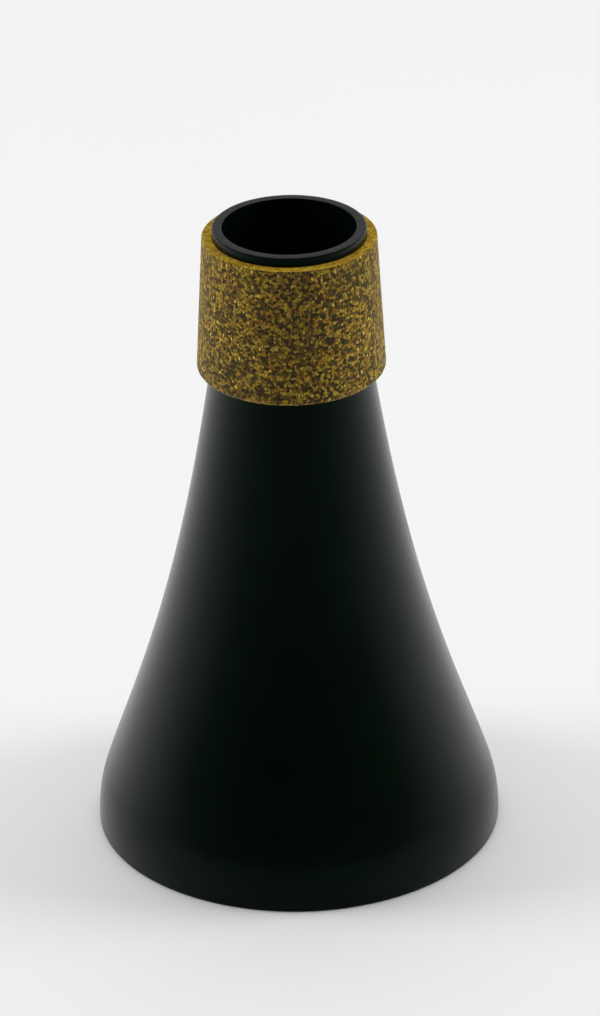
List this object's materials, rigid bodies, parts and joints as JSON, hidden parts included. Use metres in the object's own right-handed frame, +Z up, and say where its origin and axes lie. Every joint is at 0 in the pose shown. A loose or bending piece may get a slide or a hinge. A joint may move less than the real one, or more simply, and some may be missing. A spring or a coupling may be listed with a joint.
{
  "type": "piccolo trumpet practice mute",
  "caption": "Practice mute for a piccolo trumpet: a hollow flared shell with a tapered cork collar on its open neck, closed at the wide end by a recessed cap that holds an air tube.",
  "frame": {"origin": "centre of the circle on which the rim stands", "axes": "+Z up along the mute's axis, from the wide base to the open neck; X and Y are equal"},
  "size_m": [0.0702, 0.0702, 0.1125],
  "materials": {
    "shell_plastic": "black, smooth moulded, semi-gloss",
    "cork": "fine-grain agglomerated cork, sanded, matt",
    "cap_plastic": "black, satin moulded",
    "tube_plastic": "black, smooth extruded",
    "felt": "dark grey pressed felt"
  },
  "bodies": {
    "root": {"body_shell": "shell_plastic", "cork_collar": "cork", "base_cap": "cap_plastic", "vent_tube": "tube_plastic", "damping_ring": "felt"}
  },
  "joints": []
}
